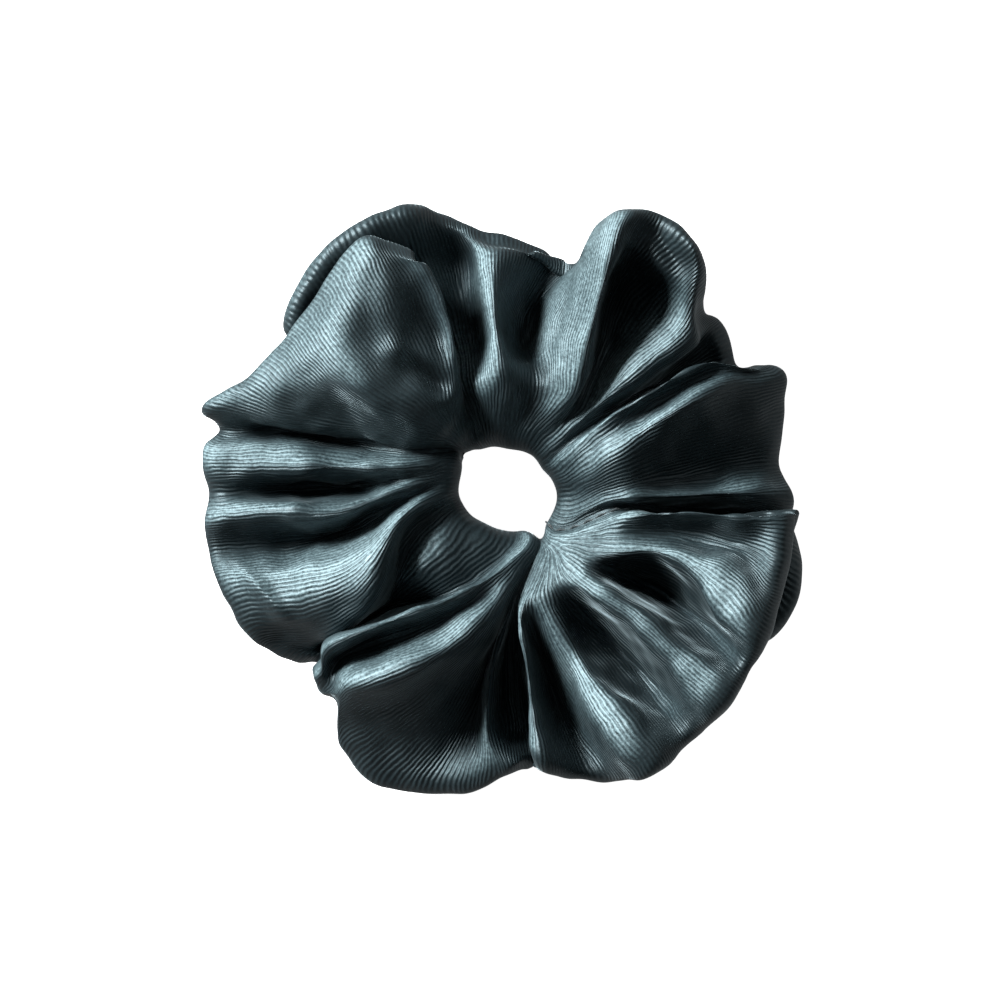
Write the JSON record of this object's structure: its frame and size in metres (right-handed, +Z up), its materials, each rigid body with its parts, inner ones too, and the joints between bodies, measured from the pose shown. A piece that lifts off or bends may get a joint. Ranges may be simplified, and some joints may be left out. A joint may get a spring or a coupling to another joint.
{
  "type": "hair scrunchie",
  "caption": "Gathered dark teal velvet hair scrunchie: a ribbed stretch-velvet sleeve over a loop of flat elastic that stretches open.",
  "frame": {"origin": "under the middle of the overall size, on the surface that the scrunchie lies on", "axes": "+Z up, along the axis of the hole; +X to the right seen from above, and the closing seam is 16 degrees clockwise from +X"},
  "size_m": [0.1054, 0.1028, 0.032],
  "materials": {
    "velvet": "ribbed stretch velvet with a silvery sheen",
    "elastic": "braided elastic band",
    "thread": "matt polyester thread"
  },
  "bodies": {
    "end_a": {"sleeve_end_a": "velvet", "elastic_end_a": "elastic", "seam_thread_end_a": "thread", "closing_seam_thread": "thread", "elastic_tack_thread": "thread"},
    "puff_1": {"sleeve_puff_1": "velvet", "elastic_length_1": "elastic", "seam_thread_1": "thread"},
    "puff_2": {"sleeve_puff_2": "velvet", "elastic_length_2": "elastic", "seam_thread_2": "thread"},
    "puff_3": {"sleeve_puff_3": "velvet", "elastic_length_3": "elastic", "seam_thread_3": "thread"},
    "puff_4": {"sleeve_puff_4": "velvet", "elastic_length_4": "elastic", "seam_thread_4": "thread"},
    "puff_5": {"sleeve_puff_5": "velvet", "elastic_length_5": "elastic", "seam_thread_5": "thread"},
    "puff_6": {"sleeve_puff_6": "velvet", "elastic_length_6": "elastic", "seam_thread_6": "thread"},
    "puff_7": {"sleeve_puff_7": "velvet", "elastic_length_7": "elastic", "seam_thread_7": "thread"},
    "puff_8": {"sleeve_puff_8": "velvet", "elastic_length_8": "elastic", "seam_thread_8": "thread"},
    "puff_9": {"sleeve_puff_9": "velvet", "elastic_length_9": "elastic", "seam_thread_9": "thread"},
    "end_b": {"sleeve_end_b": "velvet", "elastic_end_b": "elastic", "seam_thread_end_b": "thread"}
  },
  "joints": [
    {"name": "loop_stretch", "type": "slide", "parent": "puff_5", "child": "puff_4", "axis": [0.5262, 0.8504, 0], "range_m": [0, 0.017], "stiffness_N_per_m": 300},
    {"name": "stretch_puff_4_to_puff_3", "type": "slide", "parent": "puff_4", "child": "puff_3", "axis": [0.9469, 0.3214, 0], "range_m": [0, 0.01543], "stiffness_N_per_m": 300},
    {"name": "stretch_puff_3_to_puff_2", "type": "slide", "parent": "puff_3", "child": "puff_2", "axis": [0.9576, -0.2882, 0], "range_m": [0, 0.01383], "stiffness_N_per_m": 300},
    {"name": "stretch_puff_2_to_puff_1", "type": "slide", "parent": "puff_2", "child": "puff_1", "axis": [0.6225, -0.7826, 0], "range_m": [0, 0.01483], "stiffness_N_per_m": 300},
    {"name": "stretch_puff_1_to_end_a", "type": "slide", "parent": "puff_1", "child": "end_a", "axis": [0.0393, -0.9992, 0], "range_m": [0, 0.01503], "stiffness_N_per_m": 300},
    {"name": "stretch_puff_5_to_puff_6", "type": "slide", "parent": "puff_5", "child": "puff_6", "axis": [0.1564, -0.9877, 0], "range_m": [0, 0.01642], "stiffness_N_per_m": 300},
    {"name": "stretch_puff_6_to_puff_7", "type": "slide", "parent": "puff_6", "child": "puff_7", "axis": [0.7373, -0.6756, 0], "range_m": [0, 0.01523], "stiffness_N_per_m": 300},
    {"name": "stretch_puff_7_to_puff_8", "type": "slide", "parent": "puff_7", "child": "puff_8", "axis": [0.989, -0.1478, 0], "range_m": [0, 0.01283], "stiffness_N_per_m": 300},
    {"name": "stretch_puff_8_to_puff_9", "type": "slide", "parent": "puff_8", "child": "puff_9", "axis": [0.9222, 0.3867, 0], "range_m": [0, 0.01303], "stiffness_N_per_m": 300},
    {"name": "stretch_puff_9_to_end_b", "type": "slide", "parent": "puff_9", "child": "end_b", "axis": [0.5556, 0.8315, 0], "range_m": [0, 0.01463], "stiffness_N_per_m": 300}
  ],
  "couplings": [
    {"joint": "stretch_puff_4_to_puff_3", "follows": "loop_stretch", "ratio": 0.90728},
    {"joint": "stretch_puff_3_to_puff_2", "follows": "loop_stretch", "ratio": 0.81344},
    {"joint": "stretch_puff_2_to_puff_1", "follows": "loop_stretch", "ratio": 0.87221},
    {"joint": "stretch_puff_1_to_end_a", "follows": "loop_stretch", "ratio": 0.88392},
    {"joint": "stretch_puff_5_to_puff_6", "follows": "loop_stretch", "ratio": 0.96536},
    {"joint": "stretch_puff_6_to_puff_7", "follows": "loop_stretch", "ratio": 0.8956},
    {"joint": "stretch_puff_7_to_puff_8", "follows": "loop_stretch", "ratio": 0.75429},
    {"joint": "stretch_puff_8_to_puff_9", "follows": "loop_stretch", "ratio": 0.76615},
    {"joint": "stretch_puff_9_to_end_b", "follows": "loop_stretch", "ratio": 0.86049}
  ]
}
